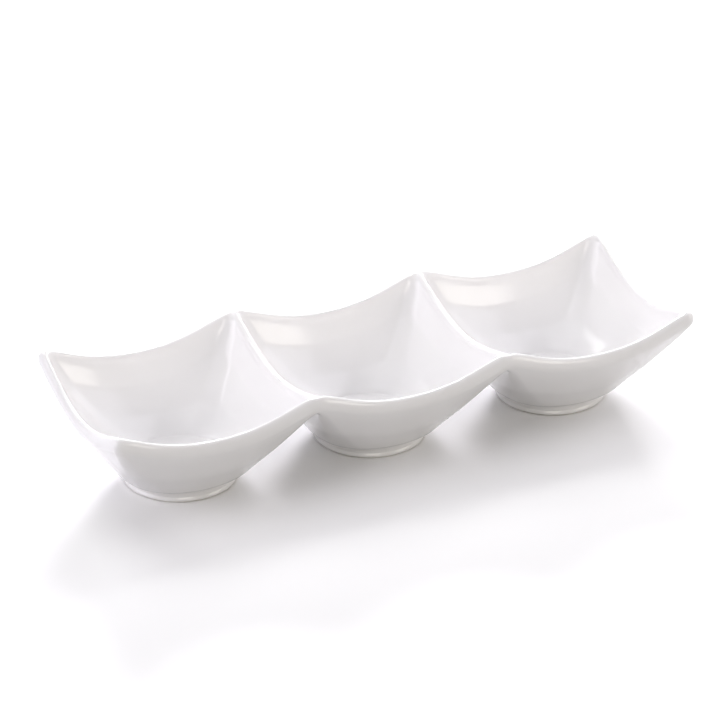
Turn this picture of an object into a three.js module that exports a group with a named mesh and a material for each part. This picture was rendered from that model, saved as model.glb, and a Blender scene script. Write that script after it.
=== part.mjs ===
// Divided dipping dish: three square cups in a row that share their dividers, each on a low round foot.
// Every rim sags between corners that sweep up to points, and every wall runs from a round floor to a
// square rim. Millimetres, +Z up, the row along X, the origin on the table under the middle cup.

import * as THREE from 'three';

// Plan sizes
const CUP_PITCH = 100; // from the centre of one cup to the centre of the next
const END_REACH = 52.5; // from the centre of an end cup to the outer face of its end rim
const SIDE_REACH = 51; // from the middle of the row to the outer face of a long rim
const CORNER_RADIUS = 3.8; // rounding of the rim's corners, seen from above
const MOUTH_CORNER_RADIUS = 6.5; // rounding of the corners inside the rim, seen from above

// Rim heights above the table
const CORNER_HEIGHT = 55; // the swept-up points at the ends of the row
const DIVIDER_CORNER_HEIGHT = 54; // the swept-up points at the ends of a divider
const SIDE_HEIGHT = 43.4; // the lowest point of each cup's long rims
const END_HEIGHT = 42.2; // the lowest point of the two end rims
const DIVIDER_HEIGHT = 43.6; // the lowest point of the divider ridges

// How the rims rise from their lowest points to the corners
const SIDE_SWEEP = 2.2; // power of the curve along a long rim
const END_SWEEP = 1.85; // power of the curve along an end rim or a divider
const POINT_RADIUS = 6; // softening of the swept-up points, seen from the side

// Rim section
const RIM_THICKNESS = 4.2; // rounded over the top
const RIM_DROP = 5; // from the rim's crest down to where its rounding meets the inner wall
const RIDGE_HALF_WIDTH = 3.2; // from a divider's middle plane to where the cup's wall begins
const LIP_DROP = 4; // from the rim's crest down to its widest line
const LIP_TURN = 60; // degrees that the lip's rounding runs on under its widest line

// Foot
const FOOT_HEIGHT = 2.5;
const FOOT_RADIUS = 28.4; // outer radius at the table
const FOOT_WIDTH = 4; // radial width of the ring
const FOOT_TAPER = 0.1; // how far the ring draws in at its top, outside and inside
const FOOT_EDGE = 1; // rounding of the two edges on the table

// Floor and walls
const FLOOR_THICKNESS = 6.5; // from the top of the foot up to the foot of the inner wall
const FLOOR_STEP_DEPTH = 0.9; // the round floor lies this far below the foot of the wall
const FLOOR_STEP_WIDTH = 0.5;
const INNER_WALL_BOW = 1.5; // 1 is a straight wall, more is rounder towards the floor
const OUTER_WALL_BOW = 1.1;

// Soft horizontal ripples, which push the wall in between creases
const INNER_RIPPLE_DEPTH = 0.6;
const OUTER_RIPPLE_DEPTH = 0.3;
const COVE_DEPTH = 0.8; // the hollow just above the foot
const INNER_CREASE_HEIGHTS = [17, 29]; // measured at the middle of a long side
const OUTER_CREASE_HEIGHTS = [10, 20];

// Fineness of the facets
const CORNER_STEPS = 4;
const SIDE_STEPS = 8;
const RIM_STEPS = 3;
const LIP_STEPS = 5;
const RIPPLE_STEPS = 4;
const FOOT_STEPS = 48;
const FOOT_EDGE_STEPS = 3;

// Worked out from the sizes above
const LOOP_COUNT = 4 * (CORNER_STEPS + SIDE_STEPS);
const RIM_RADIUS = RIM_THICKNESS / 2;
const FLOOR_HEIGHT = FOOT_HEIGHT + FLOOR_THICKNESS;
const FLOOR_RADIUS = FOOT_RADIUS - FOOT_WIDTH;
const LIP_END = -THREE.MathUtils.degToRad(LIP_TURN);
const LIP_INSET = RIM_RADIUS * (1 - Math.cos(LIP_END));
const LIP_HEIGHT = LIP_DROP * (1 - Math.sin(LIP_END));
const WALL_TOP = SIDE_HEIGHT - RIM_DROP;
const LIP_FOOT = SIDE_HEIGHT - LIP_HEIGHT;

const CUPS = [
  { side: 'left', centre: -CUP_PITCH, dividerBefore: false, dividerAfter: true },
  { side: 'middle', centre: 0, dividerBefore: true, dividerAfter: true },
  { side: 'right', centre: CUP_PITCH, dividerBefore: true, dividerAfter: false },
];

const glaze = new THREE.MeshStandardMaterial({ color: 0xf3f3f1, roughness: 0.12, metalness: 0 });

const lerp = THREE.MathUtils.lerp;

// True on the side of a cup that meets its neighbour.
function isDivider(cup, x) {
  return x > 0 ? cup.dividerAfter : cup.dividerBefore;
}

// Distance from a cup's centre to the face or middle plane on that side.
function reachAt(cup, x) {
  return isDivider(cup, x) ? CUP_PITCH / 2 : END_REACH;
}

// A square outline round a cup, counter-clockwise, drawn in from its faces by rimInset and from its
// divider planes by ridgeInset, with corners of the given radius. dividerSharpness turns the corners at
// the dividers from round to square.
function squareLoop(cup, rimInset, ridgeInset, radius, dividerSharpness) {
  const halfY = SIDE_REACH - rimInset;
  const corners = [[1, 1], [-1, 1], [-1, -1], [1, -1]].map(([signX, signY], quarter) => {
    const divider = isDivider(cup, signX);
    const halfX = reachAt(cup, signX) - (divider ? ridgeInset : rimInset);
    const sharpness = divider ? dividerSharpness : 0;
    const points = [];
    for (let step = 0; step <= CORNER_STEPS; step += 1) {
      const angle = (quarter + step / CORNER_STEPS) * Math.PI / 2;
      const round = new THREE.Vector2(Math.cos(angle), Math.sin(angle));
      const square = round.clone().divideScalar(Math.max(Math.abs(round.x), Math.abs(round.y)));
      const spoke = round.lerp(square, sharpness).multiplyScalar(radius);
      const hub = new THREE.Vector2(signX * (halfX - radius), signY * (halfY - radius));
      points.push(hub.add(spoke));
    }
    return points;
  });
  const loop = [];
  corners.forEach((corner, quarter) => {
    const start = corner[CORNER_STEPS];
    const end = corners[(quarter + 1) % corners.length][0];
    loop.push(...corner);
    for (let step = 1; step < SIDE_STEPS; step += 1) {
      loop.push(start.clone().lerp(end, step / SIDE_STEPS));
    }
  });
  return loop;
}

// A circle with one point for each point of a square loop, the corners' middles on its diagonals.
function roundLoop(radius) {
  return Array.from({ length: LOOP_COUNT }, (_, index) => {
    const angle = Math.PI / 4 + (index - CORNER_STEPS / 2) * 2 * Math.PI / LOOP_COUNT;
    return new THREE.Vector2(radius * Math.cos(angle), radius * Math.sin(angle));
  });
}

// Share of the way back from a corner, 1 at the corner and 0 at the middle of a side, level at the corner.
function towardsCorner(offset, reach) {
  const soften = (gap) => Math.hypot(gap, POINT_RADIUS) - POINT_RADIUS;
  return 1 - soften(reach - Math.abs(offset)) / soften(reach);
}

// Height of the rim's crest where the line from a cup's centre through a point meets the rim.
function crestHeight(cup, point) {
  const divider = isDivider(cup, point.x);
  const reach = reachAt(cup, point.x);
  const scale = Math.max(Math.abs(point.x) / reach, Math.abs(point.y) / SIDE_REACH);
  const highest = divider ? DIVIDER_CORNER_HEIGHT : CORNER_HEIGHT;
  const lowest = divider ? DIVIDER_HEIGHT : END_HEIGHT;
  const alongEnd = towardsCorner(point.y / scale, SIDE_REACH) ** END_SWEEP;
  const alongSide = towardsCorner(point.x / scale, reach) ** SIDE_SWEEP;
  const endSag = (highest - lowest) * (1 - alongEnd);
  const sideSag = (highest - SIDE_HEIGHT) * (1 - alongSide);
  return highest - endSag - sideSag;
}

// A ring that follows the rim at a given drop below its crest.
function belowCrest(cup, loop, drop) {
  return loop.map((point) => new THREE.Vector3(point.x, point.y, crestHeight(cup, point) - drop));
}

// Levels up a wall, as shares of its height, with the push at each of the ripples between the creases.
function rippleLevels(creases, bottom, top, depths) {
  const marks = [bottom, ...creases, top].map((height) => (height - bottom) / (top - bottom));
  const levels = [{ share: 0, push: 0 }];
  for (let roll = 1; roll < marks.length; roll += 1) {
    for (let step = 1; step <= RIPPLE_STEPS; step += 1) {
      const within = step / RIPPLE_STEPS;
      levels.push({
        share: lerp(marks[roll - 1], marks[roll], within),
        push: step < RIPPLE_STEPS ? depths[roll - 1] * Math.sin(Math.PI * within) : 0,
      });
    }
  }
  return levels;
}

// One ring of a wall that runs from a round loop up to a square loop, whose heights are given.
function wallRing(round, bottom, square, tops, level, bow) {
  const spread = 1 - (1 - level.share) ** bow;
  return round.map((start, index) => {
    const point = start.clone().lerp(square[index], spread);
    point.setLength(point.length() - level.push);
    return new THREE.Vector3(point.x, point.y, lerp(bottom, tops[index], level.share));
  });
}

// Rings over the rim, from the inner wall's top edge over the crest and round under the lip. On a divider
// the crest lies on the middle plane, and the rest of the way is straight down that plane.
function rimRings(cup) {
  const rings = [];
  for (let step = 1; step <= RIM_STEPS; step += 1) {
    const share = step / RIM_STEPS;
    const angle = share * Math.PI / 2;
    const rimInset = RIM_RADIUS * (1 + Math.cos(angle));
    const ridgeInset = step < RIM_STEPS ? RIDGE_HALF_WIDTH * Math.cos(angle) : 0;
    const radius = lerp(MOUTH_CORNER_RADIUS, CORNER_RADIUS, share);
    const loop = squareLoop(cup, rimInset, ridgeInset, radius, share);
    rings.push(belowCrest(cup, loop, RIM_DROP * (1 - Math.sin(angle))));
  }
  for (let step = 1; step <= LIP_STEPS; step += 1) {
    const angle = lerp(Math.PI / 2, LIP_END, step / LIP_STEPS);
    const loop = squareLoop(cup, RIM_RADIUS * (1 - Math.cos(angle)), 0, CORNER_RADIUS, 1);
    rings.push(belowCrest(cup, loop, LIP_DROP * (1 - Math.sin(angle))));
  }
  return rings;
}

// A closed body through a stack of rings, capped by a fan to a point at each end.
function loft(first, rings, last) {
  const points = [first, ...rings.flat(), last];
  const end = points.length - 1;
  const at = (ring, index) => 1 + ring * LOOP_COUNT + index % LOOP_COUNT;
  const triangles = [];
  for (let index = 0; index < LOOP_COUNT; index += 1) {
    triangles.push(0, at(0, index), at(0, index + 1));
    for (let ring = 0; ring + 1 < rings.length; ring += 1) {
      triangles.push(at(ring, index), at(ring + 1, index), at(ring + 1, index + 1));
      triangles.push(at(ring, index), at(ring + 1, index + 1), at(ring, index + 1));
    }
    triangles.push(end, at(rings.length - 1, index + 1), at(rings.length - 1, index));
  }
  const geometry = new THREE.BufferGeometry().setFromPoints(points);
  geometry.setIndex(triangles);
  geometry.computeVertexNormals();
  return geometry;
}

// A cup: floor, inner wall, rim, lip, outer wall and the flat underside that the foot meets.
function cupGeometry(cup) {
  const mouth = squareLoop(cup, RIM_THICKNESS, RIDGE_HALF_WIDTH, MOUTH_CORNER_RADIUS, 0);
  const face = squareLoop(cup, LIP_INSET, 0, CORNER_RADIUS, 0);
  const wallTops = mouth.map((point) => crestHeight(cup, point) - RIM_DROP);
  const lipFeet = face.map((point) => crestHeight(cup, point) - LIP_HEIGHT);
  const floorEdge = roundLoop(FLOOR_RADIUS);
  const seat = roundLoop(FOOT_RADIUS);
  const floorLevel = FLOOR_HEIGHT - FLOOR_STEP_DEPTH;
  const innerDepths = [INNER_RIPPLE_DEPTH, INNER_RIPPLE_DEPTH, INNER_RIPPLE_DEPTH];
  const outerDepths = [COVE_DEPTH, OUTER_RIPPLE_DEPTH, OUTER_RIPPLE_DEPTH];
  const inner = rippleLevels(INNER_CREASE_HEIGHTS, FLOOR_HEIGHT, WALL_TOP, innerDepths);
  const outer = rippleLevels(OUTER_CREASE_HEIGHTS, FOOT_HEIGHT, LIP_FOOT, outerDepths);
  const underLip = outer.slice(0, -1).reverse();
  const floorRing = roundLoop(FLOOR_RADIUS - FLOOR_STEP_WIDTH)
    .map((point) => new THREE.Vector3(point.x, point.y, floorLevel));
  const rings = [
    floorRing,
    ...inner.map((level) => wallRing(floorEdge, FLOOR_HEIGHT, mouth, wallTops, level, INNER_WALL_BOW)),
    ...rimRings(cup),
    ...underLip.map((level) => wallRing(seat, FOOT_HEIGHT, face, lipFeet, level, OUTER_WALL_BOW)),
  ];
  return loft(new THREE.Vector3(0, 0, floorLevel), rings, new THREE.Vector3(0, 0, FOOT_HEIGHT));
}

// Rounded edge of the foot's section, swept about a centre from one angle to another.
function footEdge(radius, from, to) {
  const edge = new THREE.EllipseCurve(radius, FOOT_EDGE, FOOT_EDGE, FOOT_EDGE, from, to);
  return edge.getPoints(FOOT_EDGE_STEPS);
}

// A foot: a ring that draws in a little towards its top, with rounded edges on the table.
function footGeometry() {
  const innerRadius = FOOT_RADIUS - FOOT_WIDTH;
  const section = [
    new THREE.Vector2(innerRadius + FOOT_TAPER, FOOT_HEIGHT),
    ...footEdge(innerRadius + FOOT_EDGE, Math.PI, 1.5 * Math.PI),
    ...footEdge(FOOT_RADIUS - FOOT_EDGE, 1.5 * Math.PI, 2 * Math.PI),
    new THREE.Vector2(FOOT_RADIUS - FOOT_TAPER, FOOT_HEIGHT),
    new THREE.Vector2(innerRadius + FOOT_TAPER, FOOT_HEIGHT),
  ];
  return new THREE.LatheGeometry(section, FOOT_STEPS).rotateX(Math.PI / 2);
}

function addPiece(group, name, geometry, centre) {
  const mesh = new THREE.Mesh(geometry, glaze);
  mesh.name = name;
  mesh.position.x = centre;
  group.add(mesh);
}

const dish = new THREE.Group();
CUPS.forEach((cup) => {
  addPiece(dish, `cup_${cup.side}`, cupGeometry(cup), cup.centre);
  addPiece(dish, `foot_ring_${cup.side}`, footGeometry(), cup.centre);
});

export default dish;
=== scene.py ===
import math

import bmesh
import bpy
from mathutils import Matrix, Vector


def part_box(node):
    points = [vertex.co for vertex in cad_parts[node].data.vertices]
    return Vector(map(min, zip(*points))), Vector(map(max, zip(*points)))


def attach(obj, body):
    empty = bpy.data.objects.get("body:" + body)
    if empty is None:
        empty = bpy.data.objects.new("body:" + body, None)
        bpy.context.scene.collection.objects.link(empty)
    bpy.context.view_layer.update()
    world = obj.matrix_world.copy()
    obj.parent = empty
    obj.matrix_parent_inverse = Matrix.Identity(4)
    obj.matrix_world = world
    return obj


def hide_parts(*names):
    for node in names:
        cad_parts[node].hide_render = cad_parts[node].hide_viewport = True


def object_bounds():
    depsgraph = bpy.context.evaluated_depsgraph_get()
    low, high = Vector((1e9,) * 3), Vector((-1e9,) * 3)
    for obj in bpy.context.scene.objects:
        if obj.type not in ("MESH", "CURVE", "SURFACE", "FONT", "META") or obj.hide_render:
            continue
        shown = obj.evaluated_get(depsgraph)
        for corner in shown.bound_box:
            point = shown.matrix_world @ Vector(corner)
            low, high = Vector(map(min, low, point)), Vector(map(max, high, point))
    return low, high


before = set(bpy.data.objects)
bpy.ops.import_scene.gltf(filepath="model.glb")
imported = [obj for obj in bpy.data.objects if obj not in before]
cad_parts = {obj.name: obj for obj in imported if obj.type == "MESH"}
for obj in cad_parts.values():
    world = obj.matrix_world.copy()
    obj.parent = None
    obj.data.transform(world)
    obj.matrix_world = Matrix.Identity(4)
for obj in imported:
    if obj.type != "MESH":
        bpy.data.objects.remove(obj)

bl_info = {
    "name": "Divided Dipping Dish",
    "version": (1, 0, 0),
    "blender": (4, 5, 0),
    "location": "3D View > Sidebar > Dipping Dish",
    "description": "Three square cups in a row on round feet, in white glaze",
    "category": "Add Mesh",
}

SOLID_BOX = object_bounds()
MIDDLE_CUP_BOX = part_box("cup_middle")
MIDDLE_FOOT_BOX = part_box("foot_ring_middle")

CUP_PITCH = MIDDLE_CUP_BOX[1].x - MIDDLE_CUP_BOX[0].x
CUP_CENTRES = {"left": -CUP_PITCH, "middle": 0.0, "right": CUP_PITCH}

# Points round each ring of a cup or foot
CORNER_STEPS = 8
SIDE_STEPS = 16
SPOKES = 4 * (CORNER_STEPS + SIDE_STEPS)
# Rings in each half of the rim, in a roll of a wall, in the hollow under the heel and in a foot's edge
RIM_STEPS = 6
ROLL_STEPS = 6
COVE_STEPS = 6
EDGE_STEPS = 5
# Share of the floor's radius at which the rings of a cup begin
FLOOR_START = 0.8
# Width of the row of faces that keeps a flat round crisp at its edge
EDGE_HOLD = 0.0006
# How far a foot flares from the seat of its cup down to the table
FOOT_FLARE = 0.0012
# Height of the unglazed part of a foot, as a share of the rounding of its edges
BARE_SHARE = 0.3
# Edges that turn by more than this stay crisp
CUP_CRISP_ANGLE = math.radians(60)
FOOT_CRISP_ANGLE = math.radians(50)
# Lengths under this count as nothing
TOUCH = 1e-6

# Values between which most of a noise pattern lies
NOISE_LOW = 0.3
NOISE_HIGH = 0.7
GLAZE_IOR = 1.5
# Colour of the darkest grains of the bare clay, as a share of its colour
GRAIN_SHADE = 0.93

FLOOR_SIZE = 8
FLOOR_ROUGHNESS = 0.9
SENSOR_WIDTH = 36
VIEW_DEPTH = 20
LAMP_DISTANCE = 1.6
WHITE_LIGHT = (1.0, 1.0, 1.0)
COOL_LIGHT = (1.01, 0.985, 1.06)
WARM_LIGHT = (1.05, 1.0, 0.92)


class CupSizes(bpy.types.PropertyGroup):
    """Sizes of the three cups"""

    end_reach: bpy.props.FloatProperty(
        name="End reach",
        description="From the centre of an end cup to the outer face of its end rim",
        default=SOLID_BOX[1].x - CUP_PITCH,
        unit="LENGTH",
    )
    side_reach: bpy.props.FloatProperty(
        name="Side reach",
        description="From the middle of the row to the outer face of a long rim",
        default=SOLID_BOX[1].y,
        unit="LENGTH",
    )
    corner_radius: bpy.props.FloatProperty(
        name="Corner radius",
        description="Rounding of the rim's corners, seen from above",
        default=0.0038,
        unit="LENGTH",
    )
    mouth_corner_radius: bpy.props.FloatProperty(
        name="Mouth corner radius",
        description="Rounding of the corners inside the rim, seen from above",
        default=0.0065,
        unit="LENGTH",
    )
    corner_height: bpy.props.FloatProperty(
        name="Corner height",
        description="Height of the swept-up points at the ends of the row",
        default=SOLID_BOX[1].z,
        unit="LENGTH",
    )
    divider_corner_height: bpy.props.FloatProperty(
        name="Divider corner height",
        description="Height of the swept-up points at the ends of a divider",
        default=0.054,
        unit="LENGTH",
    )
    side_height: bpy.props.FloatProperty(
        name="Side height",
        description="Height of the lowest point of each cup's long rims",
        default=0.0434,
        unit="LENGTH",
    )
    end_height: bpy.props.FloatProperty(
        name="End height",
        description="Height of the lowest point of the two end rims",
        default=0.0422,
        unit="LENGTH",
    )
    divider_height: bpy.props.FloatProperty(
        name="Divider height",
        description="Height of the lowest point of the divider ridges",
        default=0.0436,
        unit="LENGTH",
    )
    side_sweep: bpy.props.FloatProperty(
        name="Side sweep",
        description="Power of the curve along a long rim",
        default=2.2,
    )
    end_sweep: bpy.props.FloatProperty(
        name="End sweep",
        description="Power of the curve along an end rim or a divider",
        default=1.85,
    )
    point_radius: bpy.props.FloatProperty(
        name="Point radius",
        description="Softening of the swept-up points, seen from the side",
        default=0.006,
        unit="LENGTH",
    )
    rim_thickness: bpy.props.FloatProperty(
        name="Rim thickness",
        description="Thickness of the rim, which is rounded over the top",
        default=0.0042,
        unit="LENGTH",
    )
    rim_drop: bpy.props.FloatProperty(
        name="Rim drop",
        description="From the rim's crest down to where its rounding meets the inner wall",
        default=0.0036,
        unit="LENGTH",
    )
    ridge_half_width: bpy.props.FloatProperty(
        name="Ridge half width",
        description="From a divider's middle plane to where the cup's wall begins",
        default=0.0024,
        unit="LENGTH",
    )
    lip_drop: bpy.props.FloatProperty(
        name="Lip drop",
        description="From the rim's crest down to its widest line",
        default=0.004,
        unit="LENGTH",
    )
    lip_turn: bpy.props.FloatProperty(
        name="Lip turn",
        description="How far the lip's rounding runs on under its widest line",
        default=math.radians(60),
        subtype="ANGLE",
    )
    floor_height: bpy.props.FloatProperty(
        name="Floor height",
        description="Height of the foot of the inner wall above the table",
        default=0.009,
        unit="LENGTH",
    )
    floor_radius: bpy.props.FloatProperty(
        name="Floor radius",
        description="Radius of the round floor at the foot of the inner wall",
        default=0.0244,
        unit="LENGTH",
    )
    floor_step_depth: bpy.props.FloatProperty(
        name="Floor step depth",
        description="How far the round floor lies below the foot of the wall",
        default=0.0012,
        unit="LENGTH",
    )
    floor_step_width: bpy.props.FloatProperty(
        name="Floor step width",
        description="Width of the step round the floor",
        default=0.0005,
        unit="LENGTH",
    )
    seat_height: bpy.props.FloatProperty(
        name="Seat height",
        description="Height of the flat underside that the foot meets",
        default=MIDDLE_FOOT_BOX[1].z,
        unit="LENGTH",
    )
    seat_radius: bpy.props.FloatProperty(
        name="Seat radius",
        description="Radius of the flat underside",
        default=MIDDLE_FOOT_BOX[1].x - FOOT_FLARE,
        unit="LENGTH",
    )
    heel_height: bpy.props.FloatProperty(
        name="Heel height",
        description="Height of the edge at which the outer wall ends above the foot",
        default=0.0082,
        unit="LENGTH",
    )
    heel_radius: bpy.props.FloatProperty(
        name="Heel radius",
        description="Radius of the edge at which the outer wall ends above the foot",
        default=0.0326,
        unit="LENGTH",
    )
    heel_squareness: bpy.props.FloatProperty(
        name="Heel squareness",
        description="How far that edge leans from a round to the square of the rim",
        default=0.14,
        subtype="FACTOR",
    )
    cove_drop: bpy.props.FloatProperty(
        name="Cove drop",
        description="Height of the hollow that runs from the heel in to the foot",
        default=0.0048,
        unit="LENGTH",
    )
    cove_start: bpy.props.FloatProperty(
        name="Cove start",
        description="Angle at which the hollow's quarter round begins under the heel, where 0 is level",
        default=math.radians(40),
        subtype="ANGLE",
    )
    inner_bow: bpy.props.FloatProperty(
        name="Inner bow",
        description="Roundness of the inner wall, where 1 is straight",
        default=1.5,
    )
    outer_bow: bpy.props.FloatProperty(
        name="Outer bow",
        description="Roundness of the outer wall, where 1 is straight",
        default=1.1,
    )
    inner_ripple: bpy.props.FloatProperty(
        name="Inner ripple",
        description="Depth of the soft rolls inside the cups",
        default=0.0006,
        unit="LENGTH",
    )
    outer_ripple: bpy.props.FloatProperty(
        name="Outer ripple",
        description="Depth of the soft hollows round the outside",
        default=0.0003,
        unit="LENGTH",
    )
    inner_creases: bpy.props.FloatVectorProperty(
        name="Inner creases",
        description="Heights of the creases between the rolls, at the middle of a long side",
        default=(0.017, 0.029),
        size=2,
        unit="LENGTH",
    )
    outer_crease: bpy.props.FloatProperty(
        name="Outer crease",
        description="Height of the ridge round the outside, at the middle of a long side",
        default=0.020,
        unit="LENGTH",
    )


class FootSizes(bpy.types.PropertyGroup):
    """Sizes of the three feet"""

    height: bpy.props.FloatProperty(
        name="Height",
        description="From the table to the underside of the cup",
        default=MIDDLE_FOOT_BOX[1].z,
        unit="LENGTH",
    )
    radius: bpy.props.FloatProperty(
        name="Radius",
        description="Outer radius at the table",
        default=MIDDLE_FOOT_BOX[1].x,
        unit="LENGTH",
    )
    width: bpy.props.FloatProperty(
        name="Width",
        description="Radial width of the ring",
        default=0.004,
        unit="LENGTH",
    )
    taper: bpy.props.FloatProperty(
        name="Taper",
        description="How far the ring draws in towards its top, outside and inside",
        default=FOOT_FLARE,
        unit="LENGTH",
    )
    edge: bpy.props.FloatProperty(
        name="Edge",
        description="Rounding of the two edges on the table",
        default=0.0018,
        unit="LENGTH",
    )


class GlazeLook(bpy.types.PropertyGroup):
    """Finish of the dish"""

    glaze_colour: bpy.props.FloatVectorProperty(
        name="Glaze",
        description="Colour of the glaze where it lies thick",
        default=(0.92, 0.912, 0.91),
        subtype="COLOR",
    )
    thin_glaze_colour: bpy.props.FloatVectorProperty(
        name="Thin glaze",
        description="Colour of the glaze where it lies thin",
        default=(0.9, 0.891, 0.886),
        subtype="COLOR",
    )
    clay_colour: bpy.props.FloatVectorProperty(
        name="Bare clay",
        description="Colour of the unglazed edge that a foot stands on",
        default=(0.74, 0.71, 0.66),
        subtype="COLOR",
    )


class StageLook(bpy.types.PropertyGroup):
    """Camera, light and floor"""

    azimuth: bpy.props.FloatProperty(
        name="Azimuth",
        description="Turn of the camera round the dish",
        default=math.radians(-25.222),
        subtype="ANGLE",
    )
    elevation: bpy.props.FloatProperty(
        name="Elevation",
        description="Height of the camera above the horizon",
        default=math.radians(27.926),
        subtype="ANGLE",
    )
    distance: bpy.props.FloatProperty(
        name="Distance",
        description="From the camera to the point that it looks at",
        default=1.83914,
        unit="LENGTH",
    )
    target: bpy.props.FloatVectorProperty(
        name="Target",
        description="Point that the camera looks at",
        default=(-0.00152, 0.00722, 0.03609),
        subtype="TRANSLATION",
    )
    lens: bpy.props.FloatProperty(
        name="Lens",
        description="Focal length in millimetres on a 36 mm sensor",
        default=189.15,
    )
    floor_bounce: bpy.props.FloatProperty(
        name="Floor bounce",
        description="Share of the light that the floor sends back to the dish",
        default=0.6,
    )
    floor_white: bpy.props.FloatProperty(
        name="Floor white",
        description="Whiteness of the floor where it is seen",
        default=1.05,
    )
    floor_lift: bpy.props.FloatProperty(
        name="Floor lift",
        description="How far the floor is lifted to white where it is seen",
        default=0.01,
    )


# Outlines and heights of a cup


class Cup:
    """One cup of the row, with the side or sides on which it meets a neighbour."""

    def __init__(self, sizes, side):
        self.sizes = sizes
        self.centre = CUP_CENTRES[side]
        self.joins_before = side != "left"
        self.joins_after = side != "right"

    def is_divider(self, x):
        """True where the side of the cup at x is shared with a neighbour."""
        return self.joins_after if x > 0 else self.joins_before

    def reach(self, x):
        """From the cup's centre to the outer face of its end, or to the middle plane of a divider."""
        return CUP_PITCH / 2 if self.is_divider(x) else self.sizes.end_reach

    def square_outline(self, rim_inset, ridge_inset, radius, divider_sharpness):
        """Square outline, rim_inset inside the outer faces and ridge_inset off the divider planes."""
        sizes = self.sizes
        half_y = sizes.side_reach - rim_inset
        corners = []
        for quarter, (sign_x, sign_y) in enumerate(((1, 1), (-1, 1), (-1, -1), (1, -1))):
            divider = self.is_divider(sign_x)
            half_x = self.reach(sign_x) - (ridge_inset if divider else rim_inset)
            sharpness = divider_sharpness if divider else 0
            hub = Vector((sign_x * (half_x - radius), sign_y * (half_y - radius)))
            corner = []
            for step in range(CORNER_STEPS + 1):
                angle = (quarter + step / CORNER_STEPS) * math.pi / 2
                rounded = Vector((math.cos(angle), math.sin(angle)))
                squared = rounded / max(abs(rounded.x), abs(rounded.y))
                corner.append(hub + radius * rounded.lerp(squared, sharpness))
            corners.append(corner)
        outline = []
        for quarter, corner in enumerate(corners):
            following = corners[(quarter + 1) % 4][0]
            outline.extend(corner)
            outline.extend(corner[-1].lerp(following, step / SIDE_STEPS) for step in range(1, SIDE_STEPS))
        return outline

    def crest_height(self, point):
        """Height of the rim's crest where the line from the cup's centre through a point meets the rim."""
        sizes = self.sizes
        point = point / max(abs(point.x) / self.reach(point.x), abs(point.y) / sizes.side_reach)
        if self.is_divider(point.x):
            highest, lowest = sizes.divider_corner_height, sizes.divider_height
        else:
            highest, lowest = sizes.corner_height, sizes.end_height
        along_end = towards_corner(point.y, sizes.side_reach, sizes.point_radius) ** sizes.end_sweep
        along_side = towards_corner(point.x, self.reach(point.x), sizes.point_radius) ** sizes.side_sweep
        end_sag = (highest - lowest) * (1 - along_end)
        side_sag = (highest - sizes.side_height) * (1 - along_side)
        return highest - end_sag - side_sag

    def rings(self):
        """Rings of points from the floor up, over the rim and down to the seat of the foot."""
        sizes = self.sizes
        lip_inset = sizes.rim_thickness / 2 * (1 - math.cos(sizes.lip_turn))
        lip_height = sizes.lip_drop * (1 + math.sin(sizes.lip_turn))
        floor = round_outline(sizes.floor_radius)
        mouth_radius = sizes.mouth_corner_radius
        mouth = self.square_outline(sizes.rim_thickness, sizes.ridge_half_width, mouth_radius, 0)
        face = self.square_outline(lip_inset, 0, sizes.corner_radius, 0)
        heel = self.heel_outline(face)
        wall_tops = [self.crest_height(point) - sizes.rim_drop for point in mouth]
        face_tops = [self.crest_height(point) - lip_height for point in face]
        inner_marks = (sizes.floor_height, *sizes.inner_creases, sizes.side_height - sizes.rim_drop)
        outer_marks = (sizes.heel_height, sizes.outer_crease, sizes.side_height - lip_height)
        inner_wall = wall_rings(floor, mouth, wall_tops, inner_marks, sizes.inner_ripple, sizes.inner_bow)
        outer_wall = wall_rings(heel, face, face_tops, outer_marks, sizes.outer_ripple, sizes.outer_bow)
        floor_edge = sizes.floor_radius - sizes.floor_step_width
        floor_level = sizes.floor_height - sizes.floor_step_depth
        rings = [level_ring(floor_edge - EDGE_HOLD, floor_level), level_ring(floor_edge, floor_level)]
        rings.extend(inner_wall)
        rings.extend(self.rim_rings())
        # The top ring of the outer wall lies on the last ring of the rim
        rings.extend(reversed(outer_wall[:-1]))
        rings.extend(self.cove_rings(heel))
        rings.append(level_ring(sizes.seat_radius, sizes.seat_height))
        rings.append(level_ring(sizes.seat_radius - EDGE_HOLD, sizes.seat_height))
        return [[point + Vector((self.centre, 0, 0)) for point in ring] for ring in rings]

    def rim_rings(self):
        """Rings from the top of the inner wall over the rim's crest to the top of the outer wall."""
        sizes = self.sizes
        half = sizes.rim_thickness / 2
        tight, wide = sizes.corner_radius, sizes.mouth_corner_radius
        rings = []
        for step in range(1, RIM_STEPS + 1):
            share = step / RIM_STEPS
            angle = share * math.pi / 2
            ridge_inset = sizes.ridge_half_width * math.cos(angle)
            radius = wide + (tight - wide) * share
            outline = self.square_outline(half * (1 + math.cos(angle)), ridge_inset, radius, share)
            rings.append(self.below_crest(outline, sizes.rim_drop * (1 - math.sin(angle))))
        for step in range(1, RIM_STEPS + 1):
            angle = math.pi / 2 - step / RIM_STEPS * (math.pi / 2 + sizes.lip_turn)
            outline = self.square_outline(half * (1 - math.cos(angle)), 0, tight, 1)
            rings.append(self.below_crest(outline, sizes.lip_drop * (1 - math.sin(angle))))
        return rings

    def heel_outline(self, face):
        """Outline of the edge at which the outer wall ends: a round that leans a little to the square."""
        sizes = self.sizes
        shrink = sizes.heel_radius / sizes.side_reach
        rounded = round_outline(sizes.heel_radius)
        return [point.lerp(corner * shrink, sizes.heel_squareness) for point, corner in zip(rounded, face)]

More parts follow.
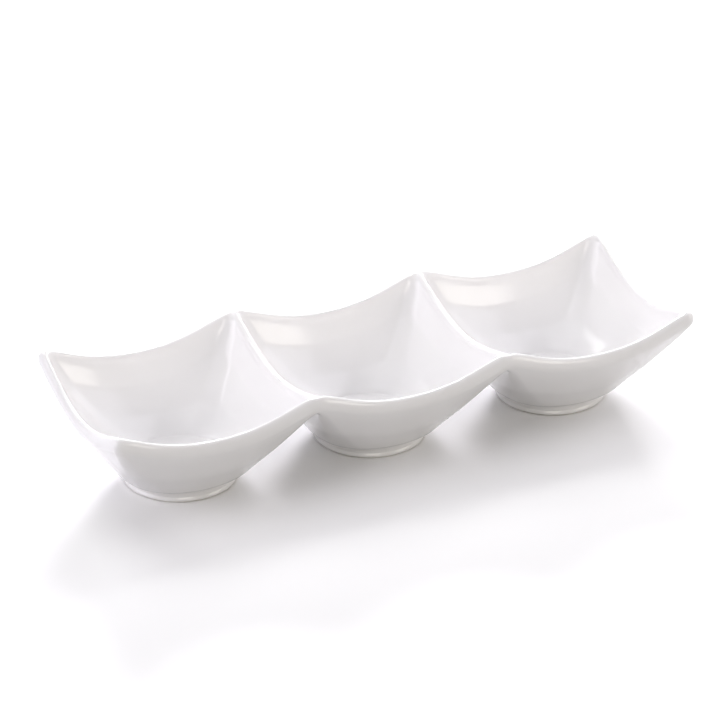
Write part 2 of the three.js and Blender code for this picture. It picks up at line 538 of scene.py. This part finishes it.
    def cove_rings(self, heel):
        """Rings of the hollow from under the heel in to the foot."""
        sizes = self.sizes
        neck = round_outline(sizes.seat_radius)
        first = sizes.cove_start
        rings = []
        for step in range(1, COVE_STEPS + 1):
            angle = first + step / COVE_STEPS * (math.pi / 2 - first)
            inward = (math.sin(angle) - math.sin(first)) / (1 - math.sin(first))
            height = sizes.heel_height - sizes.cove_drop * (1 - math.cos(angle) / math.cos(first))
            rings.append([Vector((*out.lerp(into, inward), height)) for out, into in zip(heel, neck)])
        return rings

    def below_crest(self, outline, drop):
        """Ring on an outline that follows the rim's crest, lower by drop."""
        return [Vector((*point, self.crest_height(point) - drop)) for point in outline]


def towards_corner(offset, reach, radius):
    """Share of the way to a corner, 1 at the corner and 0 at the middle of a side, level at the corner."""
    gap = math.hypot(reach - abs(offset), radius) - radius
    return 1 - gap / (math.hypot(reach, radius) - radius)


def spoke_angle(spoke):
    """Turn of a spoke about the cup's centre. The middles of the corners lie on the diagonals."""
    return math.pi / 4 + (spoke - CORNER_STEPS / 2) * 2 * math.pi / SPOKES


def round_outline(radius):
    """Round outline with a point on each spoke."""
    return [
        Vector((radius * math.cos(spoke_angle(spoke)), radius * math.sin(spoke_angle(spoke))))
        for spoke in range(SPOKES)
    ]


def level_ring(radius, height):
    return [Vector((*point, height)) for point in round_outline(radius)]


def roll_levels(marks, depth):
    """Levels up a wall, as shares of its height, with how far a roll pushes the wall in at each."""
    shares = [(mark - marks[0]) / (marks[-1] - marks[0]) for mark in marks]
    levels = [(0.0, 0.0)]
    for below, above in zip(shares, shares[1:]):
        for step in range(1, ROLL_STEPS + 1):
            within = step / ROLL_STEPS
            levels.append((below + (above - below) * within, depth * math.sin(math.pi * within)))
    return levels


def wall_rings(round_points, square_points, tops, marks, depth, bow):
    """Rings of a wall from a round outline up to a square one, with a roll between each two marks."""
    bottom = marks[0]
    rings = []
    for share, push in roll_levels(marks, depth):
        spread = 1 - (1 - share) ** bow
        ring = []
        for start, end, top in zip(round_points, square_points, tops):
            point = start.lerp(end, spread)
            point *= 1 - push / point.length
            ring.append(Vector((*point, bottom + (top - bottom) * share)))
        rings.append(ring)
    return rings


# Modelling steps


def deselect_all():
    bpy.ops.object.select_all(action="DESELECT")


def select_only(*pieces):
    deselect_all()
    for piece in pieces:
        piece.select_set(True)
    bpy.context.view_layer.objects.active = pieces[0]


def settle(piece):
    """Puts the piece's place into its mesh."""
    select_only(piece)
    bpy.ops.object.transform_apply(location=True, rotation=True, scale=True)


def select_faces(piece, wanted):
    """Selects the faces of a piece in edit mode for which wanted says yes."""
    bpy.ops.mesh.select_mode(type="FACE")
    bpy.ops.mesh.select_all(action="DESELECT")
    mesh = bmesh.from_edit_mesh(piece.data)
    for face in mesh.faces:
        face.select_set(wanted(face))
    mesh.select_flush_mode()
    bmesh.update_edit_mesh(piece.data)


def select_edges(piece, wanted):
    """Selects the edges of a piece in edit mode for which wanted says yes."""
    bpy.ops.mesh.select_mode(type="EDGE")
    bpy.ops.mesh.select_all(action="DESELECT")
    mesh = bmesh.from_edit_mesh(piece.data)
    for edge in mesh.edges:
        edge.select_set(wanted(edge))
    bmesh.update_edit_mesh(piece.data)


def number_spokes(piece, centre):
    """Numbers the points of a round primitive by their turn about the cup's centre."""
    mesh = bmesh.from_edit_mesh(piece.data)
    spoke = mesh.verts.layers.int.new("spoke")
    for vertex in mesh.verts:
        turn = math.atan2(vertex.co.y, vertex.co.x - centre) - spoke_angle(0)
        vertex[spoke] = round(turn * SPOKES / (2 * math.pi)) % SPOKES
    bmesh.update_edit_mesh(piece.data)


def lay_ring(piece, ring):
    """Lays the selected points of a piece on a ring, spoke by spoke."""
    mesh = bmesh.from_edit_mesh(piece.data)
    spoke = mesh.verts.layers.int["spoke"]
    for vertex in mesh.verts:
        if vertex.select:
            vertex.co = ring[vertex[spoke]]
    bmesh.update_edit_mesh(piece.data)


def raise_cup(cup):
    """Extrudes a cup ring by ring from its round floor, over its rim and down to the seat of its foot."""
    sizes = cup.sizes
    deselect_all()
    bpy.ops.mesh.primitive_circle_add(
        vertices=SPOKES,
        radius=FLOOR_START * sizes.floor_radius,
        fill_type="NGON",
        location=(cup.centre, 0, sizes.floor_height - sizes.floor_step_depth),
    )
    shell = bpy.context.object
    settle(shell)
    bpy.ops.object.mode_set(mode="EDIT")
    number_spokes(shell, cup.centre)
    select_edges(shell, lambda edge: True)
    for ring in cup.rings():
        bpy.ops.mesh.extrude_edges_move()
        lay_ring(shell, ring)
    bpy.ops.mesh.edge_face_add()
    select_edges(shell, lambda edge: on_seat_edge(edge, cup))
    bpy.ops.transform.edge_crease(value=1)
    open_dividers(shell, cup)
    bpy.ops.object.mode_set(mode="OBJECT")
    return shell


def on_seat_edge(edge, cup):
    """True for an edge of the round where the outer wall ends and the seat of the foot begins."""
    axis = Vector((cup.centre, 0, cup.sizes.seat_height))
    return all(
        abs(vertex.co.z - axis.z) < TOUCH and abs((vertex.co - axis).length - cup.sizes.seat_radius) < TOUCH
        for vertex in edge.verts
    )


def open_dividers(shell, cup):
    """Takes away the faces on a divider's middle plane, where the cup runs on into its neighbour."""
    planes = [cup.centre + sign * CUP_PITCH / 2 for sign in (-1, 1) if cup.is_divider(sign)]

    def on_plane(face):
        return any(all(abs(vertex.co.x - plane) < TOUCH for vertex in face.verts) for plane in planes)

    select_faces(shell, on_plane)
    bpy.ops.mesh.delete(type="FACE")


def apply_modifier(piece, kind, **settings):
    """Adds a modifier of a kind, sets it and applies it."""
    select_only(piece)
    modifier = piece.modifiers.new(kind.title(), kind)
    for name, value in settings.items():
        setattr(modifier, name, value)
    bpy.ops.object.modifier_apply(modifier=modifier.name)


# Finishes


def new_finish(name):
    """A material with its shader, and an Object coordinate for its patterns."""
    finish = bpy.data.materials.new(name)
    finish.use_nodes = True
    nodes = finish.node_tree.nodes
    coordinate = nodes.new("ShaderNodeTexCoord")
    return finish, nodes["Principled BSDF"], coordinate.outputs["Object"]


def noise(finish, place, scale, detail):
    """Soft noise over the surface, with scale in cells to the metre."""
    pattern = finish.node_tree.nodes.new("ShaderNodeTexNoise")
    pattern.inputs["Scale"].default_value = scale
    pattern.inputs["Detail"].default_value = detail
    finish.node_tree.links.new(place, pattern.inputs["Vector"])
    return pattern.outputs["Fac"]


def between(finish, pattern, low, high):
    """Turns a pattern into values from low to high."""
    spread = finish.node_tree.nodes.new("ShaderNodeMapRange")
    spread.inputs["From Min"].default_value = NOISE_LOW
    spread.inputs["From Max"].default_value = NOISE_HIGH
    spread.inputs["To Min"].default_value = low
    spread.inputs["To Max"].default_value = high
    finish.node_tree.links.new(pattern, spread.inputs["Value"])
    return spread.outputs["Result"]


def mixed_colour(finish, pattern, first, second):
    """Colours a pattern from first to second."""
    blend = finish.node_tree.nodes.new("ShaderNodeMix")
    blend.data_type = "RGBA"
    blend.inputs["A"].default_value = (*first, 1)
    blend.inputs["B"].default_value = (*second, 1)
    finish.node_tree.links.new(pattern, blend.inputs["Factor"])
    return blend.outputs["Result"]


def relief(finish, pattern, depth, strength):
    """Bumps of a pattern on the surface, depth metres deep."""
    bump = finish.node_tree.nodes.new("ShaderNodeBump")
    bump.inputs["Strength"].default_value = strength
    bump.inputs["Distance"].default_value = depth
    finish.node_tree.links.new(pattern, bump.inputs["Height"])
    return bump.outputs["Normal"]


def white_glaze():
    """Glossy white glaze that lies a little uneven, with a faint orange peel."""
    existing = bpy.data.materials.get("uneven_white_glaze")
    if existing:
        return existing
    look = bpy.context.scene.dish_glaze
    finish, shader, place = new_finish("uneven_white_glaze")
    link = finish.node_tree.links.new
    thickness = between(finish, noise(finish, place, scale=22, detail=2), low=0, high=1)
    colour = mixed_colour(finish, thickness, look.glaze_colour, look.thin_glaze_colour)
    gloss = between(finish, noise(finish, place, scale=160, detail=3), low=0.09, high=0.14)
    peel = relief(finish, noise(finish, place, scale=260, detail=1), depth=0.0002, strength=0.05)
    link(colour, shader.inputs["Base Color"])
    link(gloss, shader.inputs["Roughness"])
    link(peel, shader.inputs["Normal"])
    shader.inputs["IOR"].default_value = GLAZE_IOR
    return finish


def bare_clay():
    """Unglazed, fine-grained clay."""
    look = bpy.context.scene.dish_glaze
    finish, shader, place = new_finish("bare_clay")
    link = finish.node_tree.links.new
    darker = [GRAIN_SHADE * value for value in look.clay_colour]
    colour = mixed_colour(finish, noise(finish, place, scale=900, detail=4), look.clay_colour, darker)
    dryness = between(finish, noise(finish, place, scale=500, detail=3), low=0.75, high=0.9)
    grain = relief(finish, noise(finish, place, scale=2500, detail=4), depth=0.0002, strength=0.4)
    link(colour, shader.inputs["Base Color"])
    link(dryness, shader.inputs["Roughness"])
    link(grain, shader.inputs["Normal"])
    return finish


# Cups


class DISH_OT_cups(bpy.types.Operator):
    """Raise the three cups and join them into one glazed body"""

    bl_idname = "dish.cups"
    bl_label = "Cups"

    def execute(self, context):
        sizes = context.scene.dish_cups
        shells = [raise_cup(Cup(sizes, side)) for side in CUP_CENTRES]
        select_only(*shells)
        bpy.ops.object.join()
        body = context.object
        body.name = "dish_body"
        body.data.name = "dish_body"
        bpy.ops.object.mode_set(mode="EDIT")
        bpy.ops.mesh.select_all(action="SELECT")
        bpy.ops.mesh.remove_doubles(threshold=TOUCH)
        bpy.ops.mesh.normals_make_consistent(inside=False)
        bpy.ops.object.mode_set(mode="OBJECT")
        apply_modifier(body, "SUBSURF", levels=1, render_levels=1)
        bpy.ops.object.shade_smooth_by_angle(angle=CUP_CRISP_ANGLE)
        body.data.materials.append(white_glaze())
        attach(body, "root")
        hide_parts("cup_left", "cup_middle", "cup_right")
        return {"FINISHED"}


# Feet


def step_ring(radius, new_radius, rise):
    """Extrudes the selected ring of a foot to a new radius and height."""
    bpy.ops.mesh.extrude_edges_move(TRANSFORM_OT_translate={"value": (0, 0, rise)})
    share = new_radius / radius
    bpy.ops.transform.resize(value=(share, share, 1), center_override=(0, 0, 0))


def turn_foot(sizes):
    """Models one foot ring about the origin, ring by ring, with rounded edges on the table."""
    radius, height = sizes.radius - sizes.taper, sizes.height
    inner_radius = sizes.radius - sizes.width
    section = ((sizes.radius, 0), (inner_radius, 0), (inner_radius + sizes.taper, sizes.height))
    deselect_all()
    bpy.ops.mesh.primitive_circle_add(vertices=SPOKES, radius=radius, location=(0, 0, height))
    foot = bpy.context.object
    settle(foot)
    bpy.ops.object.mode_set(mode="EDIT")
    select_edges(foot, lambda edge: True)
    for new_radius, new_height in section:
        step_ring(radius, new_radius, new_height - height)
        radius, height = new_radius, new_height
    select_edges(foot, lambda edge: edge.is_boundary)
    bpy.ops.mesh.bridge_edge_loops()
    select_edges(foot, is_table_edge)
    bpy.ops.mesh.bevel(offset=sizes.edge, segments=EDGE_STEPS, affect="EDGES")
    bpy.ops.mesh.select_all(action="SELECT")
    bpy.ops.mesh.normals_make_consistent(inside=False)
    bpy.ops.object.mode_set(mode="OBJECT")
    return foot


def is_table_edge(edge):
    """True for an edge on the table that runs round the foot and not across it."""
    first, second = (vertex.co for vertex in edge.verts)
    on_table = max(abs(first.z), abs(second.z)) < TOUCH
    return on_table and abs(first.xy.length - second.xy.length) < TOUCH


def copy_foot(pattern, side):
    """A copy of the pattern foot under one cup, with its own mesh."""
    select_only(pattern)
    bpy.ops.object.duplicate(linked=False)
    foot = bpy.context.object
    foot.name = f"foot_{side}"
    foot.data.name = f"foot_{side}"
    foot.location.x = CUP_CENTRES[side]
    settle(foot)
    return foot


class DISH_OT_feet(bpy.types.Operator):
    """Turn one foot ring and set a copy under each cup"""

    bl_idname = "dish.feet"
    bl_label = "Feet"

    def execute(self, context):
        sizes = context.scene.dish_feet
        pattern = turn_foot(sizes)
        pattern.data.materials.append(white_glaze())
        pattern.data.materials.append(bare_clay())
        bpy.ops.object.mode_set(mode="EDIT")
        select_faces(pattern, lambda face: face.calc_center_median().z < BARE_SHARE * sizes.edge)
        pattern.active_material_index = 1
        bpy.ops.object.material_slot_assign()
        bpy.ops.object.mode_set(mode="OBJECT")
        bpy.ops.object.shade_smooth_by_angle(angle=FOOT_CRISP_ANGLE)
        for side in CUP_CENTRES:
            foot = copy_foot(pattern, side)
            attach(foot, "root")
            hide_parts(f"foot_ring_{side}")
        bpy.data.objects.remove(pattern)
        return {"FINISHED"}


# Stage


def direction(azimuth, elevation):
    """Unit vector from the dish, where azimuth 0 is the front and a quarter turn is the right."""
    return Vector((
        math.sin(azimuth) * math.cos(elevation),
        -math.cos(azimuth) * math.cos(elevation),
        math.sin(elevation),
    ))


def face_size(degrees):
    """Size of a lamp's face that fills so many degrees as seen from the dish."""
    return 2 * LAMP_DISTANCE * math.tan(math.radians(degrees / 2))


def add_lamp(name, shape, width, height, brightness, colour, aim):
    """An area lamp with an even face, at the end of the aim from the dish and turned to it."""
    lamp = bpy.data.lights.new(name, "AREA")
    lamp.shape = shape
    lamp.size = width
    lamp.size_y = height
    face_area = width * height * (math.pi / 4 if shape == "ELLIPSE" else 1)
    lamp.energy = brightness * math.pi * face_area
    lamp.color = colour
    light = bpy.data.objects.new(name, lamp)
    light.location = LAMP_DISTANCE * aim
    light.rotation_euler = (-aim).to_track_quat("-Z", "Y").to_euler()
    light.visible_camera = False
    bpy.context.scene.collection.objects.link(light)


def add_softbox(name, azimuth, elevation, spread, rise, brightness, colour, shape="RECTANGLE"):
    """A softbox that fills so many degrees of azimuth and elevation. All angles are in degrees."""
    aim = direction(math.radians(azimuth), math.radians(elevation))
    width = face_size(spread) * math.cos(math.radians(elevation))
    add_lamp(name, shape, width, face_size(rise), brightness, colour, aim)


def add_lights():
    """Keys behind the dish, weak fill from the sides and the front, and a lamp above."""
    add_softbox("key_softbox", 163, 24, spread=14, rise=8, brightness=64, colour=COOL_LIGHT)
    add_softbox("low_key_softbox", 153, 18.5, spread=14, rise=7, brightness=37, colour=COOL_LIGHT)
    add_softbox("back_right_softbox", 126, 39, spread=16, rise=8, brightness=15.6, colour=WHITE_LIGHT)
    add_softbox("back_high_softbox", -165, 50, spread=50, rise=28, brightness=3.2, colour=WHITE_LIGHT)
    add_softbox("left_softbox", -95, 22, spread=50, rise=43, brightness=2.55, colour=COOL_LIGHT)
    add_softbox("front_softbox", -18, 18, spread=28, rise=12, brightness=4.75, colour=WARM_LIGHT)
    add_softbox(
        "front_right_softbox", 43, 13, spread=27, rise=27,
        brightness=3.6, colour=WARM_LIGHT, shape="ELLIPSE",
    )
    add_softbox("right_softbox", 85, 46, spread=70, rise=44, brightness=1.42, colour=COOL_LIGHT)
    width = face_size(40)
    above = Vector((0, 0, 1))
    add_lamp("top_light", "SQUARE", width, width, brightness=1.04, colour=WHITE_LIGHT, aim=above)


def seen_ray(tree):
    """1 for a ray from the camera, mirrored or through glass, and 0 for light on its way round."""
    path = tree.nodes.new("ShaderNodeLightPath")
    seen = path.outputs["Is Camera Ray"]
    for kind in ("Is Glossy Ray", "Is Transmission Ray"):
        either = tree.nodes.new("ShaderNodeMath")
        either.operation = "MAXIMUM"
        tree.links.new(seen, either.inputs[0])
        tree.links.new(path.outputs[kind], either.inputs[1])
        seen = either.outputs[0]
    return seen


def scaled(tree, value, share):
    """Multiplies a value by a share."""
    product = tree.nodes.new("ShaderNodeMath")
    product.operation = "MULTIPLY"
    product.inputs[1].default_value = share
    tree.links.new(value, product.inputs[0])
    return product.outputs[0]


def white_sweep(look):
    """White floor that keeps the dish's shadow. It is seen whiter than the light that it sends back."""
    finish, shader, _ = new_finish("white_sweep")
    link = finish.node_tree.links.new
    seen = seen_ray(finish.node_tree)
    colour = mixed_colour(finish, seen, [look.floor_bounce] * 3, [look.floor_white] * 3)
    link(colour, shader.inputs["Base Color"])
    shader.inputs["Roughness"].default_value = FLOOR_ROUGHNESS
    shader.inputs["Specular IOR Level"].default_value = 0
    shader.inputs["Emission Color"].default_value = (1, 1, 1, 1)
    link(scaled(finish.node_tree, seen, look.floor_lift), shader.inputs["Emission Strength"])
    return finish


def white_surround(scene):
    """World that is seen white and gives no light of its own."""
    world = scene.world or bpy.data.worlds.new("studio")
    scene.world = world
    world.use_nodes = True
    tree = world.node_tree
    backdrop = tree.nodes["Background"]
    backdrop.inputs["Color"].default_value = (1, 1, 1, 1)
    tree.links.new(seen_ray(tree), backdrop.inputs["Strength"])


def add_camera(scene, look):
    """Camera at the photo's angle, looking at the target."""
    data = bpy.data.cameras.new("camera")
    data.lens = look.lens
    data.sensor_width = SENSOR_WIDTH
    data.clip_end = VIEW_DEPTH
    camera = bpy.data.objects.new("camera", data)
    back = direction(look.azimuth, look.elevation)
    camera.location = Vector(look.target) + look.distance * back
    camera.rotation_euler = (-back).to_track_quat("-Z", "Y").to_euler()
    scene.collection.objects.link(camera)
    scene.camera = camera


class DISH_OT_stage(bpy.types.Operator):
    """Set the camera, the light and the floor"""

    bl_idname = "dish.stage"
    bl_label = "Stage"

    def execute(self, context):
        scene = context.scene
        look = scene.dish_stage
        deselect_all()
        bpy.ops.mesh.primitive_plane_add(size=FLOOR_SIZE)
        floor = context.object
        floor.name = "floor"
        floor.data.materials.append(white_sweep(look))
        white_surround(scene)
        add_lights()
        add_camera(scene, look)
        scene.view_settings.view_transform = "Standard"
        return {"FINISHED"}


# Panel and registering


class DISH_PT_panel(bpy.types.Panel):
    """Lists the steps that make the dish"""

    bl_idname = "DISH_PT_panel"
    bl_label = "Dipping Dish"
    bl_space_type = "VIEW_3D"
    bl_region_type = "UI"
    bl_category = "Dipping Dish"

    def draw(self, context):
        scene = context.scene
        for heading, group in (
            ("Cups", scene.dish_cups),
            ("Feet", scene.dish_feet),
            ("Finish", scene.dish_glaze),
            ("Stage", scene.dish_stage),
        ):
            box = self.layout.box()
            box.label(text=heading)
            for name in group.__annotations__:
                box.prop(group, name)
        for operator in OPERATORS:
            self.layout.operator(operator.bl_idname)


GROUPS = {
    "dish_cups": CupSizes,
    "dish_feet": FootSizes,
    "dish_glaze": GlazeLook,
    "dish_stage": StageLook,
}
OPERATORS = (DISH_OT_cups, DISH_OT_feet, DISH_OT_stage)


def register():
    for name, group in GROUPS.items():
        bpy.utils.register_class(group)
        setattr(bpy.types.Scene, name, bpy.props.PointerProperty(type=group))
    for operator in OPERATORS:
        bpy.utils.register_class(operator)
    bpy.utils.register_class(DISH_PT_panel)


def unregister():
    bpy.utils.unregister_class(DISH_PT_panel)
    for operator in reversed(OPERATORS):
        bpy.utils.unregister_class(operator)
    for name, group in GROUPS.items():
        delattr(bpy.types.Scene, name)
        bpy.utils.unregister_class(group)


def main():
    register()
    bpy.ops.dish.stage()
    bpy.ops.dish.cups()
    bpy.ops.dish.feet()


if __name__ == "__main__":
    main()
